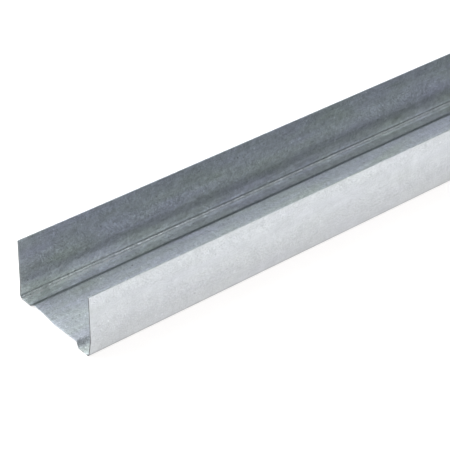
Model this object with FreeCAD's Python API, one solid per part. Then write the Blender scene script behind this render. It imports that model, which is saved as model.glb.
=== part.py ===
import FreeCAD, Part
import math
import os

from FreeCAD import Vector

# Driving dimensions, in millimetres, and the toe-in in degrees
track_length = 3000.0        # one stock length
web_width = 48.0             # outside to outside, across the two flange bends
flange_height = 28.0         # floor to the free edge of a flange
flange_toe_in = 0.5          # each flange's lean over the web, which lets it grip a stud
sheet_thickness = 0.55       # zinc-coated steel sheet
flange_bend_radius = 1.4     # inside radius where a flange turns up from the web
foot_strip_width = 7.1       # flat strip on the floor, from the flange's outside to the riser's foot
riser_run = 2.6              # width of the slope between a foot strip and the raised middle
web_rise = 1.4               # how far the raised middle stands above the foot strips
crease_radius = 1.0          # inside radius of the four creases that raise the middle


# Directions and turns in the section's plane: Y across the track, Z up

def section_point(across, up):
    return Vector(0, across, up)


def direction(start, end):
    return (end - start).normalize()


def left_of(heading):
    return section_point(-heading.z, heading.y)


# The middle line of the bent sheet, as the sharp corners its straight runs would meet in

def half_corners():
    half_sheet = sheet_thickness / 2
    toe_in = math.radians(flange_toe_in)
    bend_turn = math.pi / 2 + toe_in

    bend_middle_radius = flange_bend_radius + half_sheet
    bend_centre_across = web_width / 2 - flange_bend_radius - sheet_thickness
    bend_across = bend_centre_across + bend_middle_radius * math.tan(bend_turn / 2)

    free_edge_up = flange_height - half_sheet * math.sin(toe_in)
    free_edge_across = bend_across - (free_edge_up - half_sheet) * math.tan(toe_in)

    riser_foot_across = web_width / 2 - foot_strip_width
    riser_top_across = riser_foot_across - riser_run
    return [
        section_point(riser_top_across, half_sheet + web_rise),
        section_point(riser_foot_across, half_sheet),
        section_point(bend_across, half_sheet),
        section_point(free_edge_across, free_edge_up),
    ]


def middle_line():
    right_half = half_corners()
    left_half = [section_point(-corner.y, corner.z) for corner in reversed(right_half)]
    return left_half + right_half


def bend_radii():
    half_sheet = sheet_thickness / 2
    flange_bend = flange_bend_radius + half_sheet
    crease = crease_radius + half_sheet
    return [flange_bend, crease, crease, crease, crease, flange_bend]


# One face of the sheet: straight runs and the arcs that share their bends' centres.
# The offset is measured to the left of the middle line, so the two faces stay one thickness apart.

def sheet_face_edges(corners, radii, offset):
    edges = []
    run_start = corners[0] + left_of(direction(corners[0], corners[1])) * offset
    for before, corner, after, radius in zip(corners, corners[1:], corners[2:], radii):
        heading_in = direction(before, corner)
        heading_out = direction(corner, after)
        turn = heading_in.getAngle(heading_out)
        turn_side = math.copysign(1, left_of(heading_in).dot(heading_out))
        setback = radius * math.tan(turn / 2)

        tangent_in = corner - heading_in * setback
        tangent_out = corner + heading_out * setback
        centre = tangent_in + left_of(heading_in) * (radius * turn_side)
        arc_start = tangent_in + left_of(heading_in) * offset
        arc_middle = centre + direction(centre, corner) * (radius - offset * turn_side)
        arc_end = tangent_out + left_of(heading_out) * offset

        edges.append(Part.LineSegment(run_start, arc_start).toShape())
        edges.append(Part.Arc(arc_start, arc_middle, arc_end).toShape())
        run_start = arc_end
    run_end = corners[-1] + left_of(direction(corners[-2], corners[-1])) * offset
    edges.append(Part.LineSegment(run_start, run_end).toShape())
    return edges


def sheared_edge(corner, neighbour):
    half_width = left_of(direction(corner, neighbour)) * (sheet_thickness / 2)
    return Part.LineSegment(corner + half_width, corner - half_width).toShape()


def track_section():
    corners = middle_line()
    radii = bend_radii()
    edges = sheet_face_edges(corners, radii, sheet_thickness / 2)
    edges += sheet_face_edges(corners, radii, -sheet_thickness / 2)
    edges.append(sheared_edge(corners[0], corners[1]))
    edges.append(sheared_edge(corners[-1], corners[-2]))
    return Part.Face(Part.Wire(Part.sortEdges(edges)[0]))


# The whole track: its section drawn out along X, centred on the middle of its length

def make_track():
    section = track_section()
    section.translate(Vector(-track_length / 2, 0, 0))
    return section.extrude(Vector(track_length, 0, 0))


os.makedirs("parts", exist_ok=True)
make_track().exportStep("parts/track.step")
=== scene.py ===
import math

import bpy
from mathutils import Matrix, Vector


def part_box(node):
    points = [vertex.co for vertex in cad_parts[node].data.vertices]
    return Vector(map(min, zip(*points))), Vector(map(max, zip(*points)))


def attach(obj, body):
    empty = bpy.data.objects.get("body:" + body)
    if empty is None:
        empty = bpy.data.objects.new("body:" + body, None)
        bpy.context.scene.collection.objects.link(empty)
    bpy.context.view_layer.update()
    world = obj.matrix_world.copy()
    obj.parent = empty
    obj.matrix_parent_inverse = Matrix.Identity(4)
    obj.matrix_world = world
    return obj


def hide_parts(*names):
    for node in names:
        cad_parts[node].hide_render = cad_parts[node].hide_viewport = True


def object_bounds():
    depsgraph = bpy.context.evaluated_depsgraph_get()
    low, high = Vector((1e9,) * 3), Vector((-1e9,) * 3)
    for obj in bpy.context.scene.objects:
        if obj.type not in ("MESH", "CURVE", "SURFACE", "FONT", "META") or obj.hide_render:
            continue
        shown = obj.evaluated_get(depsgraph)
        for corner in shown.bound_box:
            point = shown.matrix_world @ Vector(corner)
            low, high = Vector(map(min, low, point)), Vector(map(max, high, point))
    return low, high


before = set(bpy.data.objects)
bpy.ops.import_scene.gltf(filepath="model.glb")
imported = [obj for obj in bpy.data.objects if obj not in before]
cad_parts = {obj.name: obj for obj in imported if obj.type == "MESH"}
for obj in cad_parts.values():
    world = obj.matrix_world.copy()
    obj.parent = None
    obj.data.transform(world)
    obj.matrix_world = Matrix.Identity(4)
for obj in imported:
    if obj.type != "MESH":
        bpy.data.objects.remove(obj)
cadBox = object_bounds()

scene = bpy.context.scene
mm = 0.001
print("frame loaded, box", [round(side / mm, 2) for side in cadBox[1] - cadBox[0]], "mm")


# node trees: small helpers shared by the shape and the finishes
noiseSpan = (0.3, 0.7)           # a noise's values mostly lie between these


def addNode(tree, kind, inputs=None, **settings):
    made = tree.nodes.new(kind)
    for name, value in settings.items():
        setattr(made, name, value)
    for key, value in (inputs or {}).items():
        socket = made.inputs[key]
        if isinstance(value, bpy.types.NodeSocket):
            tree.links.new(value, socket)
        else:
            socket.default_value = value
    return made


def calc(tree, operation, first, second=0.0, third=0.0):
    made = addNode(tree, "ShaderNodeMath", {0: first, 1: second, 2: third}, operation=operation)
    return made.outputs[0]


def vectorCalc(tree, operation, inputs):
    return addNode(tree, "ShaderNodeVectorMath", inputs, operation=operation).outputs[0]


def remap(tree, value, fromLow, fromHigh, toLow, toHigh, smooth=False):
    made = addNode(tree, "ShaderNodeMapRange", {
        "Value": value, "From Min": fromLow, "From Max": fromHigh, "To Min": toLow, "To Max": toHigh,
    }, interpolation_type="SMOOTHSTEP" if smooth else "LINEAR")
    return made.outputs["Result"]


def fade(tree, value, start, end, depth=1.0):    # full depth up to the start, nothing from the end on
    return remap(tree, value, start, end, depth, 0.0, smooth=True)


def swing(tree, value, depth, middle=0.0):       # a noise spread evenly about a middle value
    return remap(tree, value, *noiseSpan, middle - depth, middle + depth)


def noise(tree, place, length, width, detail, fineness=0.5):
    stretched = addNode(tree, "ShaderNodeMapping", {
        "Vector": place, "Scale": (1 / length, 1 / width, 1 / width),
    }).outputs["Vector"]
    return addNode(tree, "ShaderNodeTexNoise", {
        "Vector": stretched, "Scale": 1.0, "Detail": detail, "Roughness": fineness,
    }).outputs["Fac"]


# zinc coat: fine bright and dull crystals on a dimpled skin, mottled and tinted in patches, with roll marks
# and specks, and with painted highlights and painted shade along the bends, ends, risers and bottom;
# sizes in metres
zincLook = {
    "colour": (0.654, 0.673, 0.697),
    "grainSize": 0.0002,         # zinc crystals
    "grainSplit": (0.44, 0.56),  # how sharply they part into bright and dull ones
    "brightGrain": 0.22,         # roughness of a bright and of a dull crystal
    "dullGrain": 0.64,
    "cloudSize": 0.0060,         # soft patches with more bright or more dull crystals
    "cloudPull": 0.25,
    "dimpleSize": 0.0016,        # widest dimples of the skin, with finer ones on top of them
    "dimpleHeight": 0.00014,
    "mottleSize": 0.0020,        # spangle: lighter and darker blotches of all sizes below this
    "mottleInside": 0.31,
    "mottleOutside": 0.05,
    "tintWidth": 0.0080,         # long patches a little bluer or greener
    "tintLength": 0.030,
    "tintColour": (0.25, 0.0, 0.85),
    "tintInside": 0.080,
    "tintOutside": 0.015,
    "streakWidth": 0.0007,       # marks of the forming rolls, along the track
    "streakLength": 0.06,
    "streakShade": 0.08,
    "streakHeight": 0.00002,
    "speckSpacing": 0.0036,      # dark and light specks
    "speckSize": 0.00046,
    "speckCore": 0.6,            # share of a speck at full strength
    "speckSplit": (0.35, 0.65),  # how sharply they part into dark and light ones
    "speckShade": 0.45,
    "outerShare": 0.35,          # how much of the roll marks and specks shows on the outer faces
    "paintedBendLight": 0.06,          # painted light: lighter bands beside the foot bends, inside
    "paintedBendLightWidth": 0.0050,
    "paintedEndLight": 0.30,           # painted light: brighter low on the flanges near the cut ends
    "paintedEndLightLength": 0.12,
    "paintedEndLightHeight": 0.014,
    "paintedEndLightFull": 0.3,        # share of that height at full strength
    "frontShare": 0.4,           # how much of that painted light, and of the risers' painted shade, is on the front side
    "paintedWebShading": (-0.08, 0.15),  # painted light and shade across the raised middle: darker at its front edge, lighter at its back edge
    "paintedFootHighlight": 0.40,            # painted highlight: a light line beside each foot bend
    "paintedFootHighlightGap": 0.00165,
    "paintedFootHighlightWidth": 0.0011,
    "paintedFootHighlightSplit": (0.35, 0.65),
    "paintedFootHighlightSwing": (1.5, 0.5),  # it comes and goes with the roll marks
    "paintedFootShade": 0.09,            # painted shade: the foot strips a little darker
    "footSkin": 0.00005,         # what is less than this above a strip still counts as strip
    "paintedBendShade": 0.28,            # painted shade: a dark line in the foot bends
    "paintedBendShadeStart": (0.00015, 0.0004),   # above the strip: from none to all of it
    "paintedBendShadeFade": 0.0003,      # below the top of the bend, where it ends
    "paintedBendShadeReach": 0.6,        # share of the bend's width
    "paintedRiserShade": 0.26,           # painted shade on the risers
    "riserMiddle": 0.35,         # shares of a riser's width, from its top
    "riserSpread": (0.45, 0.6),  # either side of that middle: all of it up to here, none from there
    "paintedUnderShade": 0.62,           # painted shade along the bottom outside
    "underHeight": 3.5,          # in thicknesses of the sheet
}


def coatTexture(tree, look, place, streak, inside):
    size = look["mottleSize"]
    mottle = noise(tree, place, size, size, detail=4.0, fineness=1.0)
    depth = remap(tree, inside, 0.0, 1.0, look["mottleOutside"], look["mottleInside"])
    mottle = calc(tree, "MULTIPLY", swing(tree, mottle, 1.0), depth)

    spacing = look["speckSpacing"]
    cells = addNode(tree, "ShaderNodeTexVoronoi", {"Vector": place, "Scale": 1 / spacing}).outputs
    edge = look["speckSize"] / spacing
    specks = addNode(tree, "ShaderNodeSeparateColor", {0: cells["Color"]}).outputs[0]
    specks = remap(tree, specks, *look["speckSplit"], -look["speckShade"], look["speckShade"])
    specks = calc(tree, "MULTIPLY", specks, fade(tree, cells["Distance"], look["speckCore"] * edge, edge))

    rolled = swing(tree, streak, look["streakShade"])
    share = remap(tree, inside, 0.0, 1.0, look["outerShare"], 1.0)
    fine = calc(tree, "MULTIPLY", calc(tree, "ADD", rolled, specks), share)
    return calc(tree, "ADD", mottle, fine)


# painted light and shade, to be multiplied into the coat's colour
def coatPaintedShading(tree, look, shape, high, place, streak, inside, outside):
    spot = addNode(tree, "ShaderNodeSeparateXYZ", {0: place}).outputs
    across = calc(tree, "ABSOLUTE", spot["Y"])
    sheet = shape["thickness"]
    run = shape["riserRun"]
    inner = high.y - sheet
    riserFoot = high.y - shape["footStrip"]
    riserTop = riserFoot - run
    onFoot = calc(tree, "GREATER_THAN", across, riserFoot)
    onWeb = calc(tree, "LESS_THAN", across, riserTop)
    side = remap(tree, spot["Y"], -riserTop, riserTop, look["frontShare"], 1.0)

    # painted light beside the foot bends, low near the cut ends and as a highlight line off each bend
    fromWall = calc(tree, "SUBTRACT", inner, across)
    fromBend = calc(tree, "MAXIMUM", fromWall, calc(tree, "SUBTRACT", spot["Z"], sheet))
    paintedInsideShading = fade(tree, fromBend, 0.0, look["paintedBendLightWidth"], look["paintedBendLight"])
    endGap = calc(tree, "SUBTRACT", high.x, calc(tree, "ABSOLUTE", spot["X"]))
    nearEnd = fade(tree, endGap, 0.0, look["paintedEndLightLength"], look["paintedEndLight"])
    height = look["paintedEndLightHeight"]
    lowDown = fade(tree, spot["Z"], look["paintedEndLightFull"] * height, height)
    nearEnd = calc(tree, "MULTIPLY", nearEnd, lowDown)
    nearEnd = calc(tree, "MULTIPLY", calc(tree, "MULTIPLY", nearEnd, onFoot), side)
    paintedInsideShading = calc(tree, "ADD", paintedInsideShading, nearEnd)
    offLine = calc(tree, "ABSOLUTE", calc(tree, "SUBTRACT", across, inner - look["paintedFootHighlightGap"]))
    line = fade(tree, offLine, 0.0, look["paintedFootHighlightWidth"], look["paintedFootHighlight"])
    comes = remap(tree, streak, *look["paintedFootHighlightSplit"], *look["paintedFootHighlightSwing"])
    paintedInsideShading = calc(tree, "ADD", paintedInsideShading, calc(tree, "MULTIPLY", line, comes))

    # painted shade on the foot strips and as a dark line in the bends, on the inner faces only
    onStrip = calc(tree, "LESS_THAN", spot["Z"], sheet + look["footSkin"])
    onStrip = calc(tree, "MULTIPLY", onStrip, onFoot)
    paintedInsideShading = calc(tree, "SUBTRACT", paintedInsideShading, calc(tree, "MULTIPLY", onStrip, look["paintedFootShade"]))
    starts, full = look["paintedBendShadeStart"]
    bendTop = sheet + shape["bendRadius"]
    bendShadeAmount = remap(tree, spot["Z"], sheet + starts, sheet + full, 0.0, look["paintedBendShade"], smooth=True)
    bendShadeAmount = calc(tree, "MULTIPLY", bendShadeAmount, fade(tree, spot["Z"], bendTop - look["paintedBendShadeFade"], bendTop))
    inBend = calc(tree, "GREATER_THAN", across, inner - look["paintedBendShadeReach"] * shape["bendRadius"])
    bendShadeAmount = calc(tree, "MULTIPLY", bendShadeAmount, inBend)
    paintedSum = calc(tree, "MULTIPLY", calc(tree, "SUBTRACT", paintedInsideShading, bendShadeAmount), inside)

    # painted shade along the bottom outside and on the risers, painted light and shade across the raised
    # middle
    under = fade(tree, spot["Z"], sheet, look["underHeight"] * sheet, look["paintedUnderShade"])
    paintedSum = calc(tree, "SUBTRACT", paintedSum, calc(tree, "MULTIPLY", under, outside))
    web = remap(tree, spot["Y"], -riserTop, riserTop, *look["paintedWebShading"])
    paintedSum = calc(tree, "ADD", paintedSum, calc(tree, "MULTIPLY", web, onWeb))
    dark, unshaded = look["riserSpread"]
    offRiser = calc(tree, "SUBTRACT", across, riserTop + look["riserMiddle"] * run)
    riser = fade(tree, calc(tree, "ABSOLUTE", offRiser), dark * run, unshaded * run, look["paintedRiserShade"])
    return calc(tree, "SUBTRACT", paintedSum, calc(tree, "MULTIPLY", riser, side))


def zincCoat(look, shape, high):
    material = bpy.data.materials.new("zincCoat")
    material.use_nodes = True
    tree = material.node_tree
    shader = tree.nodes["Principled BSDF"]
    place = addNode(tree, "ShaderNodeTexCoord").outputs["Object"]
    outside = addNode(tree, "ShaderNodeAttribute", attribute_name="outerFace").outputs["Fac"]
    inside = calc(tree, "SUBTRACT", 1.0, outside)
    streak = noise(tree, place, look["streakLength"], look["streakWidth"], detail=2.0)

    texture = coatTexture(tree, look, place, streak, inside)
    # the painted light and shade scale the colour together with the texture
    paintedShading = coatPaintedShading(tree, look, shape, high, place, streak, inside, outside)
    shade = calc(tree, "MULTIPLY", calc(tree, "ADD", 1.0, texture), calc(tree, "ADD", 1.0, paintedShading))
    tint = noise(tree, place, look["tintLength"], look["tintWidth"], detail=2.0)
    depth = remap(tree, inside, 0.0, 1.0, look["tintOutside"], look["tintInside"])
    tint = calc(tree, "MULTIPLY", swing(tree, tint, 1.0), depth)
    tint = vectorCalc(tree, "SCALE", {0: look["tintColour"], "Scale": tint})
    tint = vectorCalc(tree, "ADD", {0: tint, 1: (1.0, 1.0, 1.0)})
    colour = vectorCalc(tree, "MULTIPLY", {0: tint, 1: look["colour"]})
    colour = vectorCalc(tree, "SCALE", {0: colour, "Scale": shade})
    tree.links.new(colour, shader.inputs["Base Color"])

    cloud = noise(tree, place, look["cloudSize"], look["cloudSize"], detail=3.0)
    pulled = calc(tree, "MULTIPLY", calc(tree, "SUBTRACT", cloud, 0.5), look["cloudPull"])
    grain = noise(tree, place, look["grainSize"], look["grainSize"], detail=0.0)
    grain = calc(tree, "ADD", grain, pulled)
    dull = remap(tree, grain, *look["grainSplit"], look["brightGrain"], look["dullGrain"], smooth=True)
    tree.links.new(dull, shader.inputs["Roughness"])
    shader.inputs["Metallic"].default_value = 1.0

    dimples = noise(tree, place, look["dimpleSize"], look["dimpleSize"], detail=4.0)
    dimples = calc(tree, "MULTIPLY", dimples, look["dimpleHeight"])
    height = calc(tree, "ADD", dimples, calc(tree, "MULTIPLY", streak, look["streakHeight"]))
    bump = addNode(tree, "ShaderNodeBump", {"Strength": 1.0, "Distance": 1.0, "Height": height})
    tree.links.new(bump.outputs["Normal"], shader.inputs["Normal"])
    return material


# sheared steel: the bare, scored edge of the sheet
cutLook = {"colour": (0.17, 0.17, 0.175), "roughness": 0.5, "scoreSize": 0.0003, "scoreShade": 0.2}


def cutSteel(look):
    material = bpy.data.materials.new("cutSteel")
    material.use_nodes = True
    tree = material.node_tree
    shader = tree.nodes["Principled BSDF"]
    place = addNode(tree, "ShaderNodeTexCoord").outputs["Object"]
    scores = addNode(tree, "ShaderNodeTexNoise", {
        "Vector": place, "Scale": 1 / look["scoreSize"], "Detail": 2.0,
    }).outputs["Fac"]
    shade = swing(tree, scores, look["scoreShade"], middle=1.0)
    colour = vectorCalc(tree, "SCALE", {0: look["colour"], "Scale": shade})
    tree.links.new(colour, shader.inputs["Base Color"])
    shader.inputs["Roughness"].default_value = look["roughness"]
    shader.inputs["Metallic"].default_value = 1.0
    return material


# the bent sheet: a row of stations as long as the track, carried round the bends of its section
sheetShape = {
    "thickness": 0.55 * mm,
    "bendRadius": 1.4 * mm,      # inside, at a flange's foot
    "creaseRadius": 1.0 * mm,    # inside, at the raised middle's creases
    "toeIn": math.radians(0.5),
    "footStrip": 7.1 * mm,
    "riserRun": 2.6 * mm,
    "rise": 1.4 * mm,
    "edgeRadius": 0.07 * mm,     # worn corners of the sheared edges
    "edgeSteps": 2,
    "edgeAngle": math.radians(50),   # only corners sharper than this are worn
    "bendSteps": 10,
    "flangeParts": 4,            # runs that a flange is made of, from its foot to its free edge
    "stations": 320,             # along the track, closer together towards its ends
    "endStep": 0.25 * mm,        # gap between the first stations
    "gapGrowth": 2.5,            # how fast the gaps widen away from the ends
    "rollLength": 2.5 * mm,      # the shears drew the web's ends down over this length
    "rollDepth": 0.06 * mm,
    "cutFade": 12.0 * mm,        # the cut's unevenness is taken up over this length
    "waveLength": 210 * mm,      # slow waves of the flanges' free edges
    "waveDepth": 0.12 * mm,
    "shadeWeight": 80,           # how much the large faces even out the shading
    "cutReach": {                # how much further out the shears left each part of an end
        "front foot": 0.85 * mm,
        "front riser foot": 1.00 * mm,
        "front riser top": 0.15 * mm,
        "front quarter": 0.45 * mm,
        "middle": 0.75 * mm,
        "back quarter": 0.15 * mm,
        "back riser top": 0.10 * mm,
        "back riser foot": 0.30 * mm,
        "back foot": 0.30 * mm,
    },
    "drawnShare": {              # how much of the draw-down each part of the web takes
        "front riser top": 0.5,
        "front quarter": 1.0,
        "middle": 1.0,
        "back quarter": 1.0,
        "back riser top": 0.5,
    },
}
bendKinds = {"flat": 0, "flange": 1, "crease": 2}
faceTilts = {"end": 0.7, "wall": 0.3, "under": -0.1}   # parts of a normal that tell the faces apart


def sectionCorners(shape, low, high):
    halfSheet = shape["thickness"] / 2
    bendCentre = high.y - shape["bendRadius"] - shape["thickness"]
    bendTurn = math.pi / 2 + shape["toeIn"]
    foot = bendCentre + (shape["bendRadius"] + halfSheet) * math.tan(bendTurn / 2)
    floorLine = low.z + halfSheet
    top = high.z - halfSheet * math.sin(shape["toeIn"])
    riserFoot = high.y - shape["footStrip"]
    riserTop = riserFoot - shape["riserRun"]
    raised = floorLine + shape["rise"]
    halfSection = [
        (riserTop / 2, raised, "flat", "quarter"),
        (riserTop, raised, "crease", "riser top"),
        (riserFoot, floorLine, "crease", "riser foot"),
        (foot, floorLine, "flange", "foot"),
    ]
    for step in range(1, shape["flangeParts"] + 1):
        climb = step / shape["flangeParts"] * (top - floorLine)
        halfSection.append((foot - climb * math.tan(shape["toeIn"]), floorLine + climb, "flat", "flange"))
    front = [(-across, up, kind, "front " + part) for across, up, kind, part in reversed(halfSection)]
    back = [(across, up, kind, "back " + part) for across, up, kind, part in halfSection]
    return front + [(0.0, raised, "flat", "middle")] + back


def bentLine(shape, low, high):
    corners = sectionCorners(shape, low, high)
    mesh = bpy.data.meshes.new("bentLine")
    points = [(0.0, across, up) for across, up, kind, part in corners]
    mesh.from_pydata(points, [(i, i + 1) for i in range(len(points) - 1)], [])
    kinds = mesh.attributes.new("bendKind", "INT", "POINT")
    kinds.data.foreach_set("value", [bendKinds[kind] for across, up, kind, part in corners])
    for name in ("cutReach", "drawnShare"):
        layer = mesh.attributes.new(name, "FLOAT", "POINT")
        layer.data.foreach_set("value", [shape[name].get(part, 0.0) for across, up, kind, part in corners])
    line = bpy.data.objects.new("bentLine", mesh)
    scene.collection.objects.link(line)
    return line


def storedValue(tree, name, kind="FLOAT"):
    return addNode(tree, "GeometryNodeInputNamedAttribute", {"Name": name}, data_type=kind).outputs[0]


def pointPlace(tree):
    position = addNode(tree, "GeometryNodeInputPosition").outputs["Position"]
    return addNode(tree, "ShaderNodeSeparateXYZ", {0: position}).outputs


def squaredFade(tree, gap, length):              # from 1 at an end to nothing at this length
    left = calc(tree, "SUBTRACT", 1.0, calc(tree, "DIVIDE", gap, length))
    return calc(tree, "POWER", calc(tree, "MAXIMUM", left, 0.0), 2.0)


def roundedLine(tree, size):
    halfSheet = calc(tree, "MULTIPLY", size["Thickness"], 0.5)
    kind = storedValue(tree, "bendKind", "INT")
    radius = 0.0
    for name, wanted in (("Bend Radius", "flange"), ("Crease Radius", "crease")):
        middle = calc(tree, "ADD", size[name], halfSheet)
        chosen = calc(tree, "COMPARE", kind, bendKinds[wanted], 0.1)   # kinds are whole, so 0.1 is near
        radius = calc(tree, "ADD", radius, calc(tree, "MULTIPLY", middle, chosen))
    line = addNode(tree, "GeometryNodeMeshToCurve", {"Mesh": size["Geometry"]}).outputs["Curve"]
    return addNode(tree, "GeometryNodeFilletCurve", {
        "Curve": line, "Count": size["Bend Steps"], "Radius": radius,
    }, mode="POLY").outputs["Curve"]


def stationRow(tree, size, halfLength):
    row = addNode(tree, "GeometryNodeCurvePrimitiveLine", {"Start": (-1.0, 0.0, 0.0), "End": (1.0, 0.0, 0.0)})
    row = addNode(tree, "GeometryNodeResampleCurve", {
        "Curve": row.outputs["Curve"], "Count": size["Stations"],
    }).outputs["Curve"]
    along = pointPlace(tree)["X"]
    fromEnd = calc(tree, "SUBTRACT", 1.0, calc(tree, "ABSOLUTE", along))
    evenPart = calc(tree, "MULTIPLY", size["Stations"], calc(tree, "MULTIPLY", size["End Step"], 0.5))
    evenGap = calc(tree, "MULTIPLY", evenPart, fromEnd)
    wideGap = calc(tree, "MULTIPLY", calc(tree, "SUBTRACT", halfLength, evenPart),
                   calc(tree, "POWER", fromEnd, size["Gap Growth"]))
    reach = calc(tree, "SUBTRACT", halfLength, calc(tree, "ADD", evenGap, wideGap))
    spread = addNode(tree, "ShaderNodeCombineXYZ", {
        "X": calc(tree, "MULTIPLY", calc(tree, "SIGN", along), reach),
    }).outputs["Vector"]
    return addNode(tree, "GeometryNodeSetPosition", {"Geometry": row, "Position": spread}).outputs["Geometry"]


def unevenness(tree, size, halfLength):
    spot = pointPlace(tree)
    endGap = calc(tree, "SUBTRACT", halfLength, calc(tree, "ABSOLUTE", spot["X"]))

    # the shears leave the ends uneven and draw the web down
    taken = squaredFade(tree, endGap, size["Cut Fade"])
    reach = calc(tree, "MULTIPLY", storedValue(tree, "cutReach"), taken)
    reach = calc(tree, "MULTIPLY", reach, calc(tree, "SIGN", spot["X"]))
    drawn = squaredFade(tree, endGap, size["Roll Length"])
    drop = calc(tree, "MULTIPLY", storedValue(tree, "drawnShare"), drawn)
    drop = calc(tree, "MULTIPLY", drop, calc(tree, "MULTIPLY", size["Roll Depth"], -1.0))

    # the free edges of the flanges wander inwards a little
    wander = addNode(tree, "ShaderNodeTexNoise", {
        "W": calc(tree, "DIVIDE", spot["X"], size["Wave Length"]), "Scale": 1.0, "Detail": 1.0,
    }, noise_dimensions="1D").outputs["Fac"]
    wander = remap(tree, wander, 0.0, 1.0, 0.0, 2.0)   # about 1 on the whole
    lean = calc(tree, "POWER", calc(tree, "DIVIDE", spot["Z"], size["Top"]), 2.0)
    inward = calc(tree, "MULTIPLY", size["Wave Depth"], -1.0)
    inward = calc(tree, "MULTIPLY", calc(tree, "SIGN", spot["Y"]), inward)
    inward = calc(tree, "MULTIPLY", calc(tree, "MULTIPLY", inward, wander), lean)
    return addNode(tree, "ShaderNodeCombineXYZ", {"X": reach, "Y": inward, "Z": drop}).outputs["Vector"]


def rolledTrackTree(zinc):
    tree = bpy.data.node_groups.new("rolledTrack", "GeometryNodeTree")
    interface = tree.interface
    interface.new_socket("Geometry", in_out="INPUT", socket_type="NodeSocketGeometry")
    for name in ("Length", "Top", "Thickness", "Bend Radius", "Crease Radius", "End Step", "Gap Growth",
                 "Roll Length", "Roll Depth", "Cut Fade", "Wave Length", "Wave Depth"):
        interface.new_socket(name, in_out="INPUT", socket_type="NodeSocketFloat")
    for name in ("Bend Steps", "Stations"):
        interface.new_socket(name, in_out="INPUT", socket_type="NodeSocketInt")
    interface.new_socket("Geometry", in_out="OUTPUT", socket_type="NodeSocketGeometry")
    size = addNode(tree, "NodeGroupInput").outputs
    halfLength = calc(tree, "MULTIPLY", size["Length"], 0.5)

    bent = addNode(tree, "GeometryNodeCurveToMesh", {
        "Curve": roundedLine(tree, size), "Profile Curve": stationRow(tree, size, halfLength),
    }).outputs["Mesh"]
    bent = addNode(tree, "GeometryNodeSetPosition", {
        "Geometry": bent, "Offset": unevenness(tree, size, halfLength),
    }).outputs["Geometry"]
    bent = addNode(tree, "GeometryNodeRealizeInstances", {"Geometry": bent}).outputs["Geometry"]
    bent = addNode(tree, "GeometryNodeSetMaterial", {"Geometry": bent, "Material": zinc}).outputs["Geometry"]
    addNode(tree, "NodeGroupOutput", {"Geometry": bent})
    return tree


def plainMesh(host):
    bpy.context.view_layer.update()
    made = host.evaluated_get(bpy.context.evaluated_depsgraph_get())
    mesh = bpy.data.meshes.new_from_object(made)
    host.modifiers.clear()
    return mesh


def grownMesh(host, tree, values):
    modifier = host.modifiers.new(tree.name, "NODES")
    modifier.node_group = tree
    for socket in tree.interface.items_tree:
        if socket.in_out == "INPUT" and socket.name in values:
            modifier[socket.identifier] = values[socket.name]
    return plainMesh(host)


def thickened(host, shape):
    wall = host.modifiers.new("sheetThickness", "SOLIDIFY")
    wall.thickness = shape["thickness"]
    wall.offset = 0.0
    wall.use_even_offset = True
    worn = host.modifiers.new("wornEdges", "BEVEL")
    worn.width = shape["edgeRadius"]
    worn.segments = shape["edgeSteps"]
    worn.limit_method = "ANGLE"
    worn.angle_limit = shape["edgeAngle"]
    return plainMesh(host)


def markFaces(mesh, bendStart):
    mesh.materials.append(cutSteel(cutLook))
    outer = mesh.attributes.new("outerFace", "FLOAT", "FACE")   # 1 outside, 0 inside, a half on the ends
    for face, mark in zip(mesh.polygons, outer.data):
        onEnd = abs(face.normal.x) > faceTilts["end"]
        onWall = face.normal.y * face.center.y > 0 and abs(face.normal.z) < faceTilts["wall"]
        mark.value = 0.5 if onEnd else float(onWall or face.normal.z < faceTilts["under"])
        face.material_index = int(onEnd and abs(face.center.y) > bendStart)   # bare on the flanges' ends


def buildTrack(shape):
    low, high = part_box("track")
    line = bentLine(shape, low, high)
    tree = rolledTrackTree(zincCoat(zincLook, shape, high))
    line.data = grownMesh(line, tree, {
        "Length": high.x - low.x, "Top": high.z, "Thickness": shape["thickness"],
        "Bend Radius": shape["bendRadius"], "Crease Radius": shape["creaseRadius"],
        "Bend Steps": shape["bendSteps"], "Stations": shape["stations"],
        "End Step": shape["endStep"], "Gap Growth": shape["gapGrowth"],
        "Roll Length": shape["rollLength"], "Roll Depth": shape["rollDepth"], "Cut Fade": shape["cutFade"],
        "Wave Length": shape["waveLength"], "Wave Depth": shape["waveDepth"],
    })
    mesh = thickened(line, shape)
    bpy.data.objects.remove(line)

    mesh.name = "bentSheet"
    mesh.shade_smooth()
    markFaces(mesh, bendStart=high.y - shape["thickness"] - shape["bendRadius"])
    track = bpy.data.objects.new("bentSheet", mesh)
    scene.collection.objects.link(track)
    even = track.modifiers.new("evenShading", "WEIGHTED_NORMAL")
    even.weight = shape["shadeWeight"]
    print("sheet bent:", len(mesh.vertices), "points,", len(mesh.polygons), "faces")
    return track


track = buildTrack(sheetShape)
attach(track, "root")
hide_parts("track")


# stage: white paper under everything, its glow shown to the camera and to the metal's reflections only
floorLook = {
    "size": 80.0,
    "drop": 0.05 * mm,
    "colour": (0.66, 0.66, 0.66, 1.0),
    "roughness": 0.9,
    "glow": 0.87,
    "glowColour": (1.0, 0.98, 0.97, 1.0),
}


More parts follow.
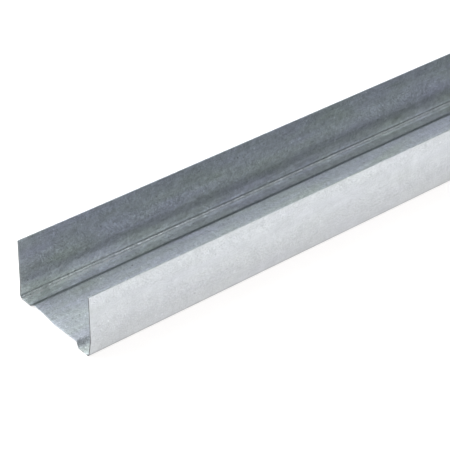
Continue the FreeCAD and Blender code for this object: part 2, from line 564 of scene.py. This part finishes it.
def buildFloor(look):
    half = look["size"] / 2
    mesh = bpy.data.meshes.new("whiteFloor")
    corners = [(-half, -half), (half, -half), (half, half), (-half, half)]
    mesh.from_pydata([(x, y, cadBox[0].z - look["drop"]) for x, y in corners], [], [(0, 1, 2, 3)])
    floor = bpy.data.objects.new("whiteFloor", mesh)
    scene.collection.objects.link(floor)
    material = bpy.data.materials.new("whitePaper")
    material.use_nodes = True
    tree = material.node_tree
    shader = tree.nodes["Principled BSDF"]
    shader.inputs["Base Color"].default_value = look["colour"]
    shader.inputs["Roughness"].default_value = look["roughness"]
    shader.inputs["Specular IOR Level"].default_value = 0.0
    shader.inputs["Emission Color"].default_value = look["glowColour"]
    rays = addNode(tree, "ShaderNodeLightPath").outputs
    mirrored = calc(tree, "MAXIMUM", rays["Is Glossy Ray"], rays["Is Transmission Ray"])
    shown = calc(tree, "MAXIMUM", rays["Is Camera Ray"], mirrored)
    tree.links.new(calc(tree, "MULTIPLY", shown, look["glow"]), shader.inputs["Emission Strength"])
    mesh.materials.append(material)
    return floor


buildFloor(floorLook)
print("floor laid")


# light: a dim, cool room and six soft lamps, the strongest high behind the track
lightPlan = {
    "roomColour": (0.90, 0.95, 1.0),
    "roomStrength": 0.02,
    "lampColour": (0.915, 0.98, 1.0),
    "lampSpread": math.radians(32),
    "lamps": {                   # where each one stands, seen from the track, and its strength
        "highBack": ((0.0, 0.5, 0.866), 1.40),
        "overhead": ((0.0, 0.259, 0.966), 0.21),
        "leftBack": ((-0.6, 0.566, 0.566), 0.58),
        "farBack": ((0.55, 0.59, 0.59), 0.155),
        "farFront": ((0.55, -0.59, 0.59), 0.32),
        "farOverhead": ((0.55, 0.0, 0.835), 0.13),
    },
}


def lightRoom(plan):
    world = bpy.data.worlds.new("softRoom")
    world.use_nodes = True
    background = world.node_tree.nodes["Background"]
    background.inputs["Color"].default_value = (*plan["roomColour"], 1.0)
    background.inputs["Strength"].default_value = plan["roomStrength"]
    scene.world = world
    for name, (place, strength) in plan["lamps"].items():
        lamp = bpy.data.lights.new(name, "SUN")
        lamp.angle = plan["lampSpread"]
        lamp.color = plan["lampColour"]
        lamp.energy = strength
        holder = bpy.data.objects.new(name, lamp)
        holder.rotation_euler = Vector(place).to_track_quat("Z", "Y").to_euler()
        scene.collection.objects.link(holder)


lightRoom(lightPlan)
scene.view_settings.view_transform = "Standard"
print("room and lamps lit")


# camera: where the photograph was taken from, with the near end's web centre at one pixel of the frame
photoView = {
    "frame": 450,                # pixels
    "sensor": 36.0,              # millimetres, as the lens is
    "lens": 143.52,
    "azimuth": -39.885,          # degrees, as the next two are
    "elevation": 34.934,
    "roll": 0.806,
    "nearEndPixel": (55.35, 326.59),
    "nearEndDistance": 0.6988,
    "clip": (0.01, 200.0),
}


def placeCamera(view):
    turn, climb, roll = (math.radians(view[key]) for key in ("azimuth", "elevation", "roll"))
    back = Vector((math.sin(turn) * math.cos(climb), -math.cos(turn) * math.cos(climb), math.sin(climb)))
    level = Vector((math.cos(turn), math.sin(turn), 0.0))
    upright = back.cross(level)
    right = level * math.cos(roll) + upright * math.sin(roll)
    up = upright * math.cos(roll) - level * math.sin(roll)
    perPixel = view["nearEndDistance"] * view["sensor"] / (view["lens"] * view["frame"])
    across = (view["nearEndPixel"][0] - view["frame"] / 2) * perPixel
    down = (view["nearEndPixel"][1] - view["frame"] / 2) * perPixel
    nearEnd = Vector((cadBox[0].x, 0.0, cadBox[0].z))
    spot = nearEnd + back * view["nearEndDistance"] - right * across + up * down

    lens = bpy.data.cameras.new("photoCamera")
    lens.lens = view["lens"]
    lens.sensor_width = view["sensor"]
    lens.clip_start, lens.clip_end = view["clip"]
    camera = bpy.data.objects.new("photoCamera", lens)
    camera.matrix_world = Matrix.Translation(spot) @ Matrix((right, up, back)).transposed().to_4x4()
    scene.collection.objects.link(camera)
    scene.camera = camera


placeCamera(photoView)
print("camera placed")
